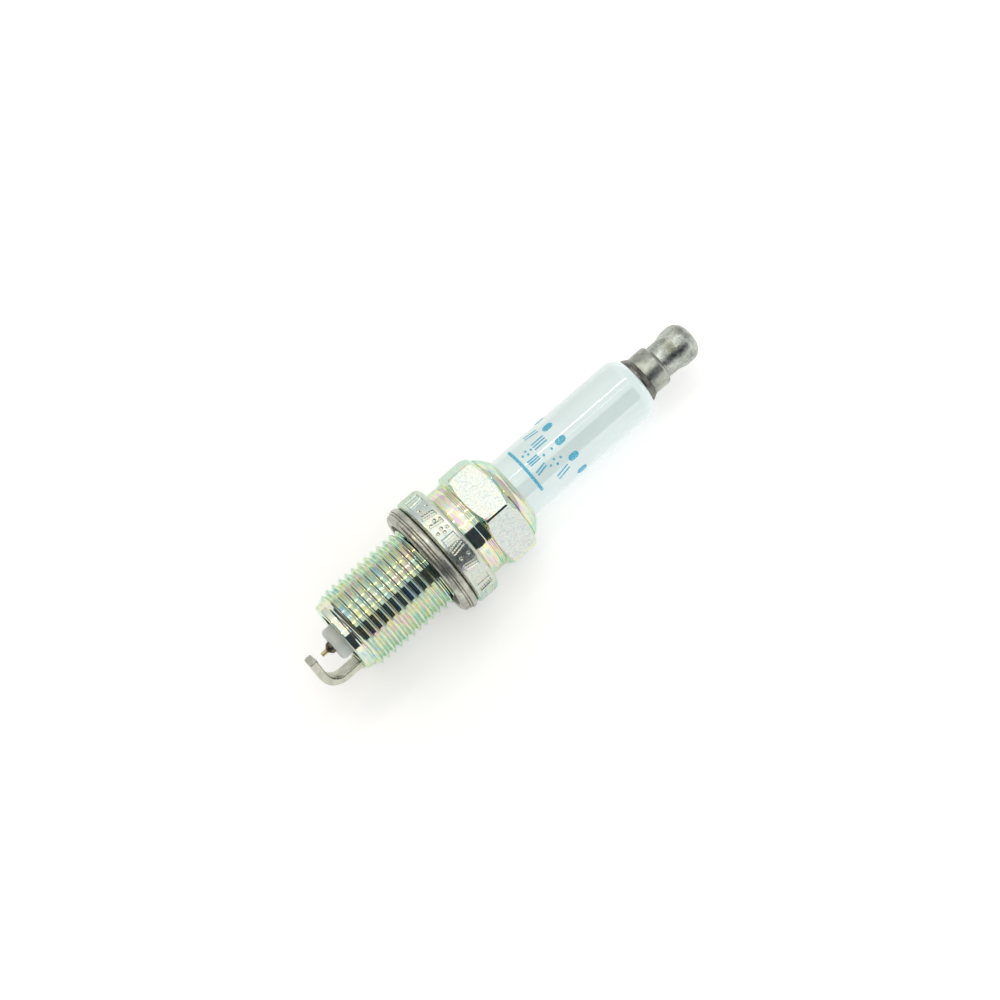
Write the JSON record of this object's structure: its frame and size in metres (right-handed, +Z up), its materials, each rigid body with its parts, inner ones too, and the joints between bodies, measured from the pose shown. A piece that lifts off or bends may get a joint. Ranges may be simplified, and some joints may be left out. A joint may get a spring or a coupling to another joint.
{
  "type": "spark plug",
  "caption": "Threaded spark plug with a hexagonal steel shell, loose folded gasket, smooth ceramic insulator, solid terminal head, fine centre tip and hooked side electrode.",
  "frame": {"origin": "on the plug's axis, at the shell's seat face under the collar", "axes": "+X along the axis to the terminal, +Z up and square to a flat of the hexagon, the plug lying on its side"},
  "size_m": [0.0759, 0.019, 0.019],
  "materials": {
    "zinc_plate": "bright zinc plate with a faint green and yellow passivation tint",
    "gasket_steel": "dull folded sheet steel",
    "alumina": "gloss glaze, pale bluish white",
    "nickel_alloy": "matt warm grey",
    "electrode_tip": "precious metal, satin",
    "terminal_steel": "dull nickel plate, finely grained",
    "copper": "plain copper",
    "conductive_glass": "dark fused glass and metal powder",
    "resistor_body": "matt carbon and glass",
    "packing_steel": "plain drawn steel",
    "talc": "pressed powder, matt"
  },
  "bodies": {
    "plug": {"shell": "zinc_plate", "insulator": "alumina", "terminal_nut": "terminal_steel", "terminal_stud": "terminal_steel", "centre_electrode": "nickel_alloy", "centre_copper_core": "copper", "centre_tip": "electrode_tip", "ground_electrode": "nickel_alloy", "ground_tip": "electrode_tip", "lower_glass_seal": "conductive_glass", "resistor": "resistor_body", "upper_glass_seal": "conductive_glass", "seat_packing": "packing_steel", "lower_packing_ring": "packing_steel", "talc_ring": "talc", "upper_packing_ring": "packing_steel"},
    "gasket": {"gasket": "gasket_steel"}
  },
  "joints": [
    {"name": "gasket_spin", "type": "hinge", "parent": "plug", "child": "gasket", "pos_m": [0, 0, 0], "axis": [1, 0, 0], "continuous": true}
  ]
}
